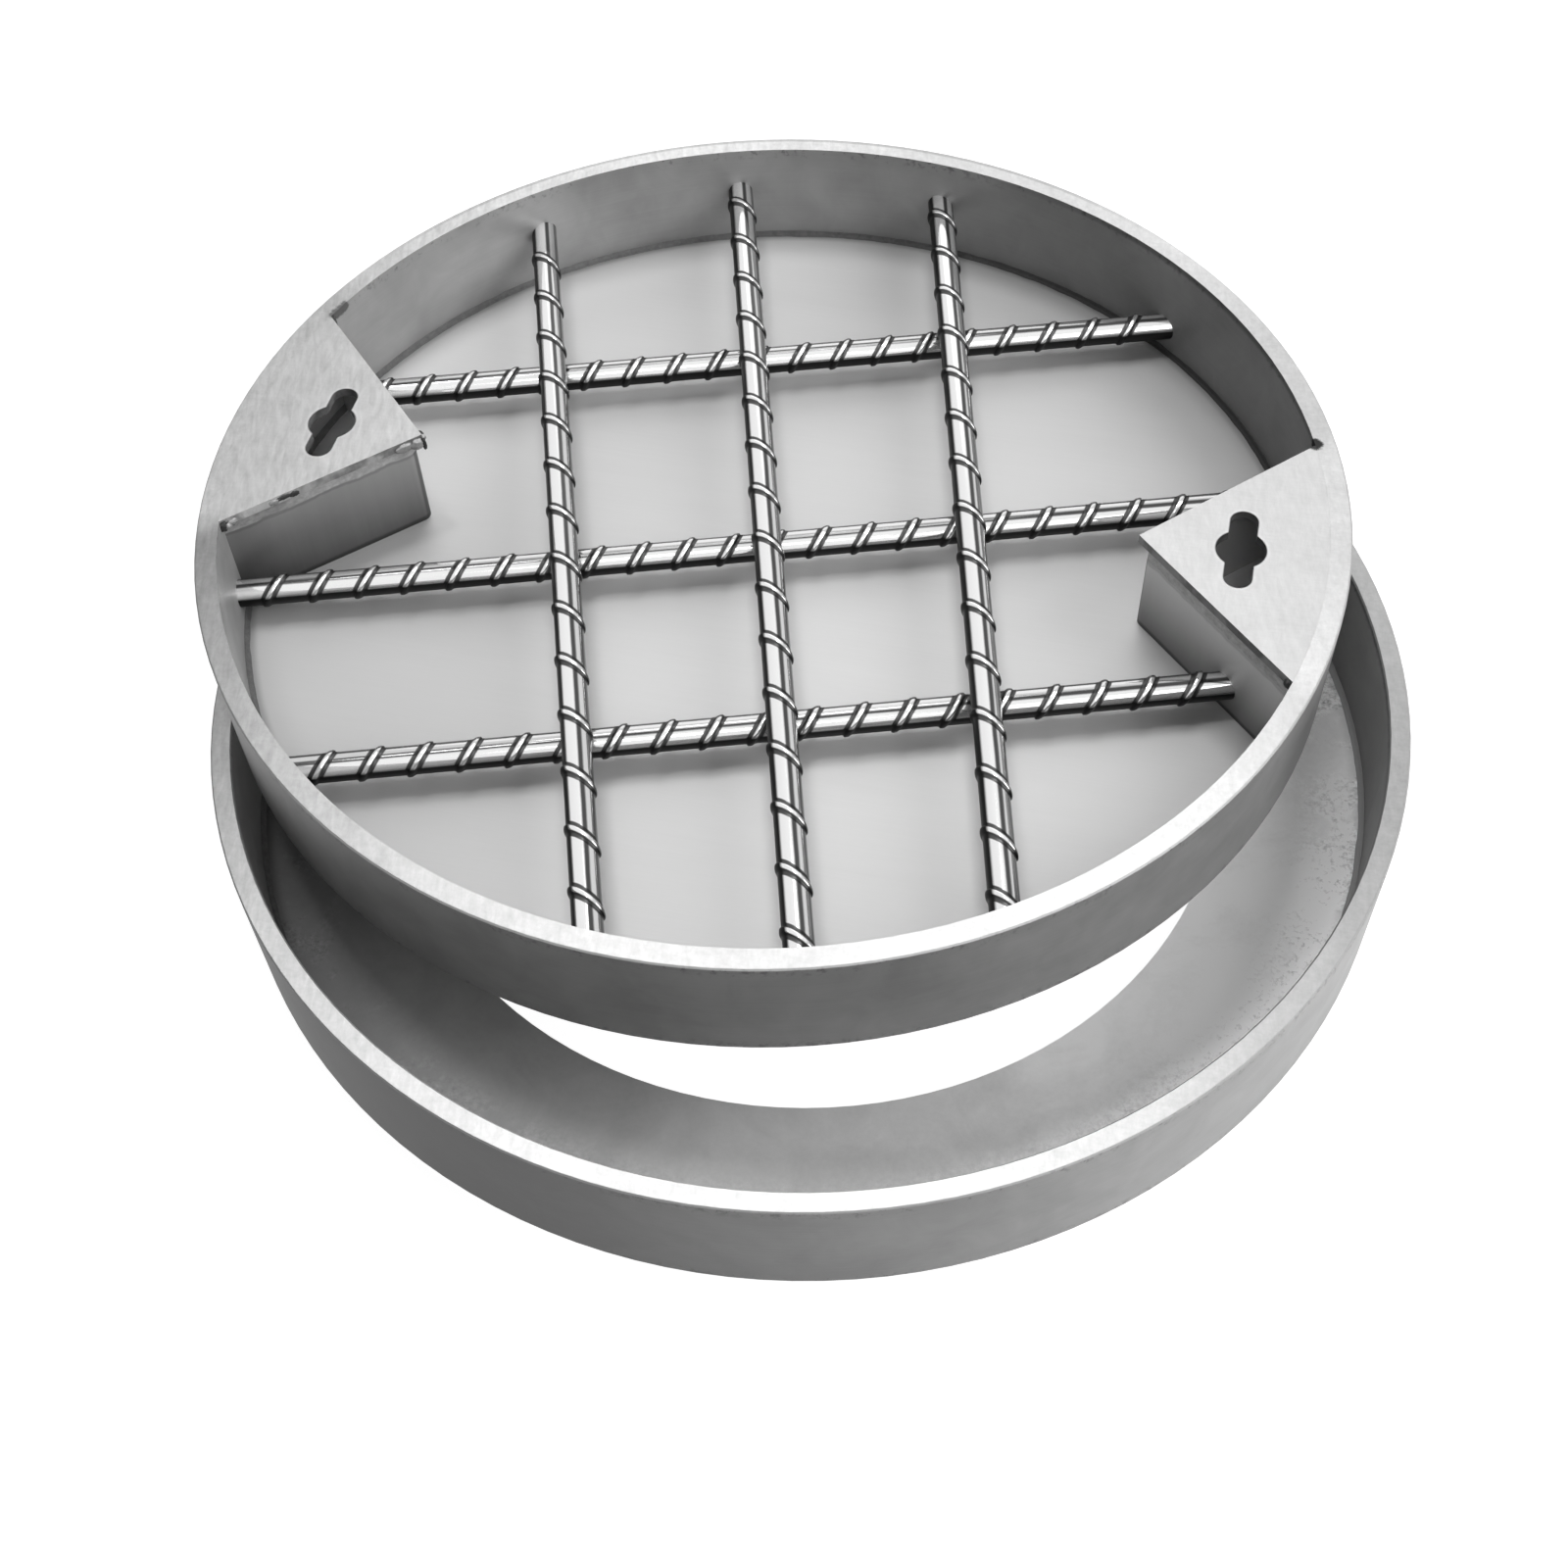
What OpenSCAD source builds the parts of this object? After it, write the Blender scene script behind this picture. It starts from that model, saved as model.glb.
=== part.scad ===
// Recessed access cover for a paved or screeded infill.
// A round tray with two corner key pockets and a grid of ribbed bars lies off centre on the rim
// of its seat frame, as it is set down when the access is open.
// Millimetres, +Z up. The origin is the centre of the frame's underside, and +X runs from the
// left key pocket to the right one.

/* [Frame] */
// Outside diameter of the frame
frame_od = 500; // [470:5:560]
// Overall height of the frame, ledge included
frame_h = 58; // [50:1:80]
// Thickness of the frame's rolled wall
frame_wall_t = 8.5; // [6:0.5:10]
// Diameter of the clear opening inside the ledge
opening_d = 360; // [320:5:380]
// Thickness of the ledge that carries the seated tray
ledge_t = 4; // [3:0.5:6]

/* [Tray] */
// Gap all round between frame and tray when the tray is seated
running_gap = 2.5; // [1.5:0.5:4]
// Thickness of the tray's rolled wall
tray_wall_t = 9; // [6:0.5:10]
// Thickness of the tray's floor
floor_t = 4; // [3:0.5:6]
// Chamfer on the free edges of the rolled walls
edge_break = 0.6; // [0.3:0.1:1]

/* [Key pockets] */
// Distance from the middle of the tray to the corner of a key plate
plate_corner_r = 154; // [148:1:165]
// Angle between the two straight edges of a key plate
plate_angle = 90; // [85:1:92]
// Thickness of a key plate
plate_t = 4; // [3:0.5:6]
// Width of the lip that a key plate leaves outside the pocket wall
plate_lip = 2; // [1:0.5:3]
// Thickness of the folded sheet of a pocket wall
pocket_wall_t = 3; // [2:0.5:4]
// Inside radius of the fold in a pocket wall
fold_r = 1.5; // [1:0.5:6]

/* [Keyholes] */
// Distance from the corner of a key plate to the middle of its keyhole
keyhole_set = 41; // [36:1:46]
// Overall length of the slot
slot_len = 43; // [34:1:46]
// Width of the slot
slot_w = 11.5; // [9:0.5:14]
// Diameter of the round hole in the middle of the slot
shank_d = 20.5; // [18:0.5:24]

/* [Bars] */
// Diameter of the core of a bar
bar_d = 12; // [10:0.5:14]
// Height of a rib above the core
rib_h = 0.9; // [0.4:0.1:1.2]
// Width of a rib
rib_w = 2.4; // [1.5:0.1:3]
// Slant of the ribs of a cross bar from square to the bar
cross_rib_slant = 34; // [25:1:45]
// Slant of the ribs of a long bar from square to the bar
long_rib_slant = 41; // [25:1:45]
// Spacing of the ribs along a cross bar
cross_rib_pitch = 19.5; // [14:0.5:24]
// Spacing of the ribs along a long bar
long_rib_pitch = 28.5; // [20:0.5:32]
// Plain length left at each end of a bar
plain_end = 3; // [2:0.5:8]
// Roll of the cross bars about their own axes, which sets the side their ribs slant on
cross_roll = 38; // [0:1:90]

/* [Grid] */
// Turn of the cross bars from the line through the key pockets
grid_turn = 18.2; // [17.5:0.1:22]
// Lean of the long bars off square to the cross bars
long_lean = 2; // [0:0.5:4]
// How far each outer long bar turns outwards at its back end
long_fan = 2.9; // [0:0.1:4]
// Spacing of the long bars
long_pitch = 86.7; // [70:0.1:95]
// Shift of all long bars to the left of the middle
long_shift = 2.5; // [0:0.1:5]
// Distance from the middle cross bar to the front one
front_reach = 100; // [85:1:112]
// Distance from the middle cross bar to the back one
back_reach = 120; // [95:1:124]
// Room left under the cross bars for the infill
under_gap = 5.5; // [2:0.5:8]

/* [Resting place] */
// How far the tray lies to the left of the frame's axis
rest_left = 25.4; // [0:0.2:40]
// How far the tray lies behind the frame's axis
rest_back = 50.6; // [30:0.2:60]

/* [Hidden] */
$fn = 160;

steel = [0.72, 0.73, 0.74];
plate_steel = [0.82, 0.82, 0.83];
bar_steel = [0.88, 0.88, 0.90];

frame_or = frame_od / 2;
frame_ir = frame_or - frame_wall_t;

// The tray fills the frame to its rim when it sits on the ledge
tray_or = frame_ir - running_gap;
tray_ir = tray_or - tray_wall_t;
tray_h = frame_h - ledge_t;

// The corner plan of a pocket is a wedge whose sides lean half the plate's angle from +X
half_angle = plate_angle / 2;
wall_inset = plate_lip + pocket_wall_t + fold_r;
fold_x = plate_corner_r + wall_inset / sin(half_angle);
pocket_h = tray_h - plate_t - floor_t;
// Where the outer faces of a pocket wall would meet if its fold were sharp
face_x = plate_corner_r + plate_lip / sin(half_angle);

// The long bars lie over the cross bars, and ribs may meet core to core but never overlap
bar_r = bar_d / 2;
rib_r = bar_r + rib_h;
cross_z = floor_t + under_gap + rib_r;
long_z = cross_z + 2 * rib_r;

// Half the length of bar that one slanted rib takes up
function rib_half(slant) = rib_r * tan(slant) + rib_w / 2 / cos(slant);

// How far a bar runs from its middle to the tray's wall, measured on its outer side
function wall_reach(offset) = sqrt(pow(tray_ir, 2) - pow(abs(offset) + bar_r, 2));

// How far a cross bar runs to the faces of the pocket on its right. A bar that passes in front
// of the pocket or behind it gets a reach beyond the tray
function pocket_reach(offset) =
    let(
        to_back_face = face_x * sin(half_angle) + offset * cos(grid_turn - half_angle),
        to_front_face = face_x * sin(half_angle) - offset * cos(grid_turn + half_angle)
    )
    max(to_back_face / sin(half_angle - grid_turn), to_front_face / sin(half_angle + grid_turn));

function cross_reach(offset) = min(wall_reach(offset), pocket_reach(offset));

// A rolled and welded wall with its outer edges broken. Its inner lower edge stays sharp,
// because the floor or the ledge is welded against it, and so does its inner upper edge
// where the key plates are welded flush with the rim
module rolled_wall(outer_r, thickness, height, inner_break) {
    inner_r = outer_r - thickness;
    rotate_extrude()
        polygon([
            [inner_r, 0],
            [outer_r - edge_break, 0],
            [outer_r, edge_break],
            [outer_r, height - edge_break],
            [outer_r - edge_break, height],
            [inner_r + inner_break, height],
            [inner_r, height - inner_break]
        ]);
}

// Where the tray lies
module at_rest() {
    translate([-rest_left, rest_back, frame_h]) children();
}

// The two pockets are the same, turned half a turn about the tray's axis
module pocket_side(name) {
    at_rest() rotate([0, 0, name == "right" ? 0 : 180]) children();
}

module frame_wall() {
    color(steel) rolled_wall(frame_or, frame_wall_t, frame_h, edge_break);
}

module frame_ledge() {
    color(steel)
        linear_extrude(ledge_t)
            difference() {
                circle(r = frame_ir);
                circle(d = opening_d);
            }
}

module tray_wall() {
    color(steel) at_rest() rolled_wall(tray_or, tray_wall_t, tray_h, 0);
}

module tray_floor() {
    color(plate_steel) at_rest() cylinder(r = tray_ir, h = floor_t);
}

// The part of the tray's plan inside the two straight sides of a pocket
module pocket_plan(corner_x) {
    far = tray_or / cos(half_angle);
    polygon([
        [corner_x, 0],
        [corner_x + far * cos(half_angle), -far * sin(half_angle)],
        [corner_x + far * cos(half_angle), far * sin(half_angle)]
    ]);
}

// A round hole for the key's shank with a slot across it for the key's bar
module keyhole() {
    end_y = (slot_len - slot_w) / 2;
    circle(d = shank_d);
    square([slot_w, 2 * end_y], center = true);
    for (y = [-end_y, end_y])
        translate([0, y]) circle(d = slot_w);
}

module key_plate(side) {
    color(plate_steel)
        pocket_side(side)
            translate([0, 0, tray_h - plate_t])
                linear_extrude(plate_t)
                    difference() {
                        intersection() {
                            circle(r = tray_ir);
                            pocket_plan(plate_corner_r);
                        }
                        translate([plate_corner_r + keyhole_set, 0]) keyhole();
                    }
}

// One sheet folded to the corner under the key plate: a round bend and a straight leg on each
// side of it, ended by the tray's wall
module pocket_wall(side) {
    color(steel)
        pocket_side(side)
            translate([0, 0, floor_t])
                intersection() {
                    cylinder(r = tray_ir, h = pocket_h);
                    translate([fold_x, 0, 0]) {
                        rotate([0, 0, 90 + half_angle])
                            rotate_extrude(angle = 180 - plate_angle)
                                translate([fold_r, 0]) square([pocket_wall_t, pocket_h]);
                        rotate([0, 0, half_angle])
                            translate([0, fold_r, 0]) cube([tray_or, pocket_wall_t, pocket_h]);
                        rotate([0, 0, -half_angle])
                            translate([0, -fold_r - pocket_wall_t, 0])
                                cube([tray_or, pocket_wall_t, pocket_h]);
                    }
                }
}

// A bar along +X from x = -reach_back to x = reach_on: a round core with slanted ribs
module ribbed_bar(reach_back, reach_on, pitch, slant) {
    first = -reach_back + plain_end + rib_half(slant);
    last = reach_on - plain_end - rib_half(slant);
    spare = (last - first) % pitch;
    rotate([0, 90, 0]) cylinder(r = bar_r, h = 2 * tray_or, center = true);
    for (x = [first + spare / 2 : pitch : last])
        translate([x, 0, 0])
            intersection() {
                rotate([0, 90, 0]) cylinder(r = rib_r, h = 4 * rib_half(slant), center = true);
                rotate([0, 0, -slant]) cube([rib_w, 4 * rib_r, 4 * rib_r], center = true);
            }
}

// What is open inside the tray from the floor up, outside the pockets
module tray_room() {
    linear_extrude(tray_h)
        difference() {
            circle(r = tray_ir);
            for (turn = [0, 180])
                rotate([0, 0, turn]) pocket_plan(face_x);
        }
}

module cross_bar(offset) {
    color(bar_steel)
        at_rest()
            intersection() {
                tray_room();
                rotate([0, 0, grid_turn])
                    translate([0, offset, cross_z])
                        rotate([cross_roll, 0, 0])
                            ribbed_bar(
                                cross_reach(-offset), cross_reach(offset),
                                cross_rib_pitch, cross_rib_slant
                            );
            }
}

module long_bar(offset, fan) {
    color(bar_steel)
        at_rest()
            intersection() {
                tray_room();
                rotate([0, 0, grid_turn - long_lean + fan + 90])
                    translate([0, -offset, long_z])
                        ribbed_bar(
                            wall_reach(offset), wall_reach(offset),
                            long_rib_pitch, long_rib_slant
                        );
            }
}

frame_wall();
frame_ledge();
tray_wall();
tray_floor();
key_plate("left");  // key_plate_left
key_plate("right");  // key_plate_right
pocket_wall("left");  // pocket_wall_left
pocket_wall("right");  // pocket_wall_right
cross_bar(-front_reach);  // cross_bar_front
cross_bar(0);  // cross_bar_middle
cross_bar(back_reach);  // cross_bar_back
long_bar(-long_pitch - long_shift, long_fan);  // long_bar_left
long_bar(-long_shift, 0);  // long_bar_middle
long_bar(long_pitch - long_shift, -long_fan);  // long_bar_right
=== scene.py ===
"""Finishes, ribbed bars, weld seams and studio for the recessed access cover.

Everything is in metres in the frame of the packed model: +Z up, the origin at the centre of the
seat frame's underside, +X from the left key pocket to the right one.
"""

import math

import bmesh
import bpy
from bpy.props import FloatProperty, FloatVectorProperty, IntProperty, PointerProperty
from mathutils import Matrix, Quaternion, Vector, noise


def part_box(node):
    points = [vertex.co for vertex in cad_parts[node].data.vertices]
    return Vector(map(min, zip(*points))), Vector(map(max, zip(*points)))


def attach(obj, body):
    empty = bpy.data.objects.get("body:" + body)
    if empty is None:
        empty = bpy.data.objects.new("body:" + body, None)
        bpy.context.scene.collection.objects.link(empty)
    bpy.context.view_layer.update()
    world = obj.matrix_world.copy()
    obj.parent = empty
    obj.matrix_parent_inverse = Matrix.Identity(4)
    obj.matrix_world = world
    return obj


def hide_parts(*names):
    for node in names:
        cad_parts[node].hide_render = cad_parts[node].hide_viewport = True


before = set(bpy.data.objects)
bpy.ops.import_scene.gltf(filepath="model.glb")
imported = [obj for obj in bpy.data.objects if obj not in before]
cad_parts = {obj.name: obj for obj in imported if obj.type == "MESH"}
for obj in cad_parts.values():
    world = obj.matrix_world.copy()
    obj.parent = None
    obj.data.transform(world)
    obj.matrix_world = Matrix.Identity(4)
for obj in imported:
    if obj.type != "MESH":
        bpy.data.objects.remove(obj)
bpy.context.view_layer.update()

bl_info = {
    "name": "Recessed Access Cover",
    "version": (1, 0, 0),
    "blender": (4, 5, 0),
    "location": "View3D > Sidebar > Access Cover",
    "description": "Finishes and small pieces for a round recessed access cover",
    "category": "Object",
}

MM = 0.001

# Sizes that come from the packed model
TRAY_LOW, TRAY_HIGH = (Vector(corner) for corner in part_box("tray_wall"))
FLOOR_LOW, FLOOR_HIGH = (Vector(corner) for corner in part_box("tray_floor"))
FRAME_LOW, FRAME_HIGH = (Vector(corner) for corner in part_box("frame_wall"))
LEDGE_LOW, LEDGE_HIGH = (Vector(corner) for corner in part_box("frame_ledge"))
POCKET_LOW, POCKET_HIGH = (Vector(corner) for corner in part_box("pocket_wall_left"))
TRAY_X = (TRAY_LOW.x + TRAY_HIGH.x) / 2
TRAY_Y = (TRAY_LOW.y + TRAY_HIGH.y) / 2
TRAY_RADIUS = (TRAY_HIGH.x - TRAY_LOW.x) / 2
TRAY_BORE = (FLOOR_HIGH.x - FLOOR_LOW.x) / 2
FRAME_RADIUS = (FRAME_HIGH.x - FRAME_LOW.x) / 2
FRAME_BORE = (LEDGE_HIGH.x - LEDGE_LOW.x) / 2

# Directions across the floor plan, as (x, y): right and away from the viewer at the camera's side
VIEW_RIGHT = (0.97, 0.24)
VIEW_AWAY = (-0.24, 0.97)


# Sizes and colours that a user would change


def length(name, description, size):
    """A length in metres."""
    return FloatProperty(name=name, description=description, default=size, unit="LENGTH")


def angle(name, description, degrees):
    """An angle, given in degrees and kept in radians."""
    size = math.radians(degrees)
    return FloatProperty(name=name, description=description, default=size, subtype="ANGLE")


def grey(name, description, tone):
    """A colour that starts as a grey."""
    colour = (tone, tone, tone)
    return FloatVectorProperty(
        name=name, description=description, default=colour, subtype="COLOR", min=0, max=1
    )


class BarSizes(bpy.types.PropertyGroup):
    """The ribbed bars that hold the infill."""

    core: length("Core", "Diameter of a bar's round core", 12 * MM)
    rib_height: length("Rib height", "Height of a rib above the core", 0.9 * MM)
    rib_width: length("Rib width", "Width of a rib at its foot", 2.4 * MM)
    cross_slant: angle("Cross slant", "Slant of a cross bar's ribs from square to the bar", 34)
    long_slant: angle("Long slant", "Slant of a long bar's ribs from square to the bar", 41)
    cross_roll: angle("Cross roll", "Roll of the cross bars about their own axes", 38)
    cross_pitch: length("Cross pitch", "Spacing of the ribs on a cross bar", 19.5 * MM)
    long_pitch: length("Long pitch", "Spacing of the ribs on a long bar", 28.5 * MM)
    # Where the painted highlight lies round each kind of bar
    cross_painted_highlight: angle(
        "Cross bright side", "Where the bright side of a cross bar lies, turned up from its back", 123
    )
    long_painted_highlight: angle(
        "Long bright side", "Where the bright side of a long bar lies, turned up from its left", 88
    )
    plain_end: length("Plain end", "Plain length left at each end of a bar", 3 * MM)
    points_round: IntProperty(
        name="Points round", description="Points round a bar's section", default=48, min=12
    )


class GridSizes(bpy.types.PropertyGroup):
    """Where the bars, key pockets and keyholes lie in the tray."""

    turn: angle("Turn", "Turn of the cross bars from the line through the key pockets", 18.2)
    lean: angle("Lean", "Lean of the long bars off square to the cross bars", 2)
    fan: angle("Fan", "How far each outer long bar turns outwards at its back end", 2.9)
    spacing: length("Spacing", "Spacing of the long bars", 86.7 * MM)
    shift: length("Shift", "Shift of all long bars to the left of the middle", 2.5 * MM)
    front_reach: length("Front reach", "From the middle cross bar to the front one", 100 * MM)
    back_reach: length("Back reach", "From the middle cross bar to the back one", 120 * MM)
    under_gap: length("Under gap", "Room left under the ribs of the cross bars", 5.5 * MM)
    pocket_face: length(
        "Pocket face",
        "Distance from the tray's middle to where a pocket's two faces would meet",
        156.828 * MM,
    )
    pocket_half_angle: angle("Pocket half angle", "Half the angle between a pocket's two faces", 45)
    plate_corner: length(
        "Plate corner", "Distance from the tray's middle to the corner of a key plate", 154 * MM
    )
    keyhole_set: length(
        "Keyhole set", "Distance from the corner of a key plate to the middle of its keyhole", 41 * MM
    )
    slot_length: length("Slot length", "Overall length of a keyhole's slot", 43 * MM)
    slot_width: length("Slot width", "Width of a keyhole's slot", 11.5 * MM)
    shank_hole: length("Shank hole", "Diameter of the round hole in the middle of a slot", 20.5 * MM)


class WeldSizes(bpy.types.PropertyGroup):
    """The seams and marks that the welder leaves."""

    seam: length("Seam", "Leg of the weld round a floor or ledge", 2.2 * MM)
    unevenness: length("Unevenness", "How far a seam wanders", 0.35 * MM)
    mark: FloatProperty(
        name="Mark", description="Size of the tack welds on the key plates, as a share", default=1.0
    )


class Finishes(bpy.types.PropertyGroup):
    """The tones of the metal."""

    rolled: grey("Rolled steel", "Mill face of the two rolled walls", 0.34)
    ground: grey("Ground steel", "Ground rims and key plates", 0.50)
    sheet: grey("Sheet", "Smooth sheet of the tray's floor", 0.55)
    ledge: grey("Ledge", "Dull plate of the ledge", 0.62)
    folded: grey("Folded sheet", "Folded sheet of the pockets", 0.30)
    bright: grey("Bright bar", "Polished ribs and cores", 0.9)
    # A painted dark reflection along the bars
    painted_reflection_line: grey("Die line", "Dull lines that the die leaves along a bar", 0.07)
    # Also the colour of the painted shade on the bars and at the right plate's back corner
    scale: grey("Dark scale", "Dark scale in corners and round welds", 0.008)


class Studio(bpy.types.PropertyGroup):
    """Camera, floor and light."""

    camera_place: FloatVectorProperty(
        name="Camera",
        description="Where the camera stands",
        default=(0.130337, -0.538749, 0.706485),
        subtype="TRANSLATION",
        unit="LENGTH",
    )
    camera_aim: FloatVectorProperty(
        name="Aim",
        description="The point in the middle of the picture",
        default=(0.002993, -0.056707, 0.05),
        subtype="TRANSLATION",
        unit="LENGTH",
    )
    camera_roll: angle("Roll", "Turn of the picture about its middle", -2.5978)
    lens: FloatProperty(name="Lens", description="Focal length in millimetres", default=46.225)
    floor: grey("Floor", "Colour of the floor", 0.3)
    floor_size: length("Floor size", "Side of the floor", 12)
    sky: FloatProperty(
        name="Sky", description="Strength of the even light from all round", default=0.04
    )
    window: FloatProperty(
        name="Window", description="Power of the large lamp on the right", default=34
    )
    back: FloatProperty(name="Back", description="Power of the lamp high behind", default=13)
    top: FloatProperty(name="Top", description="Power of the small lamp overhead", default=8)
    front: FloatProperty(name="Front", description="Power of the soft lamp in front", default=10)
    fill: FloatProperty(name="Fill", description="Power of the small lamp by the camera", default=3)
    low: FloatProperty(name="Low", description="Power of the soft lamp low behind", default=4)


# Shader maths


class Value:
    """A shader socket that Python's arithmetic works on."""

    def __init__(self, shader, socket):
        self.shader = shader
        self.socket = socket

    def _math(self, operation, *values):
        return self.shader.maths(operation, *values)

    def __add__(self, other):
        return self._math("ADD", self, other)

    def __radd__(self, other):
        return self._math("ADD", other, self)

    def __sub__(self, other):
        return self._math("SUBTRACT", self, other)

    def __rsub__(self, other):
        return self._math("SUBTRACT", other, self)

    def __mul__(self, other):
        return self._math("MULTIPLY", self, other)

    def __rmul__(self, other):
        return self._math("MULTIPLY", other, self)

    def __truediv__(self, other):
        return self._math("DIVIDE", self, other)

    def __rtruediv__(self, other):
        return self._math("DIVIDE", other, self)

    def __neg__(self):
        return self._math("MULTIPLY", self, -1.0)

    def __abs__(self):
        return self._math("ABSOLUTE", self)

    def __pow__(self, other):
        return self._math("POWER", self, other)

    def __rpow__(self, other):
        return self._math("POWER", other, self)


def socket_of(sockets, key):
    """A socket by its place, identifier or name."""
    if isinstance(key, int):
        return sockets[key]
    for socket in sockets:
        if socket.identifier == key:
            return socket
    return sockets[key]


class Shader:
    """The node tree of one material or of the world, written as Python."""

    def __init__(self, tree):
        self.tree = tree
        tree.nodes.clear()

    def node(self, kind, settings=None, inputs=None, output=0):
        """Adds a node, sets it, fills its sockets and returns one of its outputs."""
        made = self.tree.nodes.new(kind)
        for setting, value in (settings or {}).items():
            setattr(made, setting, value)
        for key, value in (inputs or {}).items():
            target = socket_of(made.inputs, key)
            if isinstance(value, Value):
                self.tree.links.new(value.socket, target)
            elif isinstance(value, (int, float)) or len(value) == len(target.default_value):
                target.default_value = value
            else:
                target.default_value = (*value, 1.0)
        return Value(self, socket_of(made.outputs, output)) if made.outputs else made

    def maths(self, operation, *values):
        """One Math node on numbers or values."""
        return self.node("ShaderNodeMath", {"operation": operation}, dict(enumerate(values)))

    def place(self):
        """Where a point lies in the part."""
        return self.node("ShaderNodeTexCoord", output="Object")

    def facing(self):
        """Which way a point faces in the part."""
        return self.node("ShaderNodeTexCoord", output="Normal")

    def axis(self, vector, name):
        """One of X, Y and Z."""
        return self.node("ShaderNodeSeparateXYZ", {}, {0: vector}, output=name)

    def least(self, first, second):
        """The smaller of two values."""
        return self.maths("MINIMUM", first, second)

    def most(self, first, second):
        """The larger of two values."""
        return self.maths("MAXIMUM", first, second)

    def painted(self, name):
        """A number that a mesh holds at its points."""
        settings = {"attribute_name": name, "attribute_type": "GEOMETRY"}
        return self.node("ShaderNodeAttribute", settings, output="Fac")

    def vector(self, x, y, z):
        """Three values as one vector."""
        return self.node("ShaderNodeCombineXYZ", {}, {"X": x, "Y": y, "Z": z})

    def stretched(self, vector, scale):
        """A vector times a scale for each axis."""
        return self.node("ShaderNodeVectorMath", {"operation": "MULTIPLY"}, {0: vector, 1: scale})

    def distance(self, vector, point):
        """How far a vector lies from a fixed point."""
        return self.node(
            "ShaderNodeVectorMath",
            {"operation": "DISTANCE"},
            {0: vector, 1: tuple(point)},
            output="Value",
        )

    def length(self, x, y):
        """The length of a flat vector."""
        return (x * x + y * y) ** 0.5

    def grain(self, vector, scale, detail=3.0, roughness=0.55, distortion=0.0):
        """Noise from 0 to 1 round 0.5."""
        return self.node(
            "ShaderNodeTexNoise",
            {},
            {
                "Vector": vector,
                "Scale": scale,
                "Detail": detail,
                "Roughness": roughness,
                "Distortion": distortion,
            },
        )

    def rise(self, value, low, high):
        """0 below low, 1 above high and smooth between. Falls where low is above high."""
        start, end = (0.0, 1.0) if low < high else (1.0, 0.0)
        return self.node(
            "ShaderNodeMapRange",
            {"interpolation_type": "SMOOTHSTEP"},
            {
                "Value": value,
                "From Min": min(low, high),
                "From Max": max(low, high),
                "To Min": start,
                "To Max": end,
            },
        )

    def mixed(self, share, first, second):
        """first where share is 0 and second where it is 1."""
        return self.node(
            "ShaderNodeMix",
            {"data_type": "RGBA"},
            {"Factor_Float": share, "A_Color": first, "B_Color": second},
            output="Result_Color",
        )

    def shaded(self, colour, tone):
        """A colour times a number."""
        return self.node(
            "ShaderNodeMix",
            {"data_type": "RGBA", "blend_type": "MULTIPLY"},
            {"Factor_Float": 1.0, "A_Color": colour, "B_Color": tone},
            output="Result_Color",
        )

    def metal(self, colour, roughness, height, depth, metallic, **constants):
        """The one surface shader of a finish, with a bump of that depth."""
        bump = self.node(
            "ShaderNodeBump", {}, {"Height": height, "Distance": depth, "Strength": 1.0}
        )
        surface = self.node(
            "ShaderNodeBsdfPrincipled",
            {},
            {
                "Base Color": colour,
                "Roughness": roughness,
                "Metallic": metallic,
                "Normal": bump,
                **constants,
            },
        )
        self.node("ShaderNodeOutputMaterial", {}, {"Surface": surface})


def new_material(name):
    """A material and the shader that writes it."""
    material = bpy.data.materials.new(name)
    material.use_nodes = True
    return material, Shader(material.node_tree)


def cover_with(material, name):
    """Gives a material to a CAD node."""
    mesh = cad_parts[name].data
    mesh.materials.clear()
    mesh.materials.append(material)


def from_tray(shader, place):
    """How far a point lies from the tray's middle along X and Y."""
    return shader.axis(place, "X") - TRAY_X, shader.axis(place, "Y") - TRAY_Y


def towards(x, y, direction):
    """How far a point lies in a direction across the floor plan."""
    return x * direction[0] + y * direction[1]


# Finishes


# Turn of the grinding passes from the line square to the key pockets
PASS_TURN = math.radians(16)


def ground_tone(shader, place):
    """Fine crossing scratches, streaks and soft blotches of a face ground with a disc, round 1."""
    long_marks = shader.grain(shader.stretched(place, (160.0, 900.0, 300.0)), 1.0, 4.0, 0.6)
    cross_marks = shader.grain(shader.stretched(place, (1100.0, 240.0, 300.0)), 1.0, 4.0, 0.6)
    blotches = shader.grain(place, 45.0, 3.0, 0.6, 0.6)
    # Each pass of the disc leaves a streak a few millimetres wide, plainer at the left
    x, y = shader.axis(place, "X"), shader.axis(place, "Y")
    across = towards(x, y, (math.cos(PASS_TURN), math.sin(PASS_TURN)))
    along = towards(x, y, (-math.sin(PASS_TURN), math.cos(PASS_TURN)))
    passes = shader.grain(shader.vector(across * 380.0, along * 85.0, 0.0), 1.0, 3.0, 0.55, 0.5)
    left = shader.rise(x, 60 * MM, -230 * MM)
    streaks = (passes - 0.5) * (0.22 + left * 0.42)
    tone = 0.78 + (long_marks + cross_marks + blotches) * 0.16 + streaks
    # Painted shade makes the far left darker
    far_left = shader.rise(x, -190 * MM, -250 * MM)
    return tone * (1 - far_left * 0.12)


def in_pockets(shader, place, grid):
    """1 inside the two key pockets, where light is painted on."""
    x, y = from_tray(shader, place)
    return shader.rise(abs(x) - abs(y) - grid.pocket_face, 1.0 * MM, 2.5 * MM)


# Turn about the tray's middle from the right key plate to each one
SIDE_TURNS = {"left": math.pi, "right": 0.0}


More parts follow.
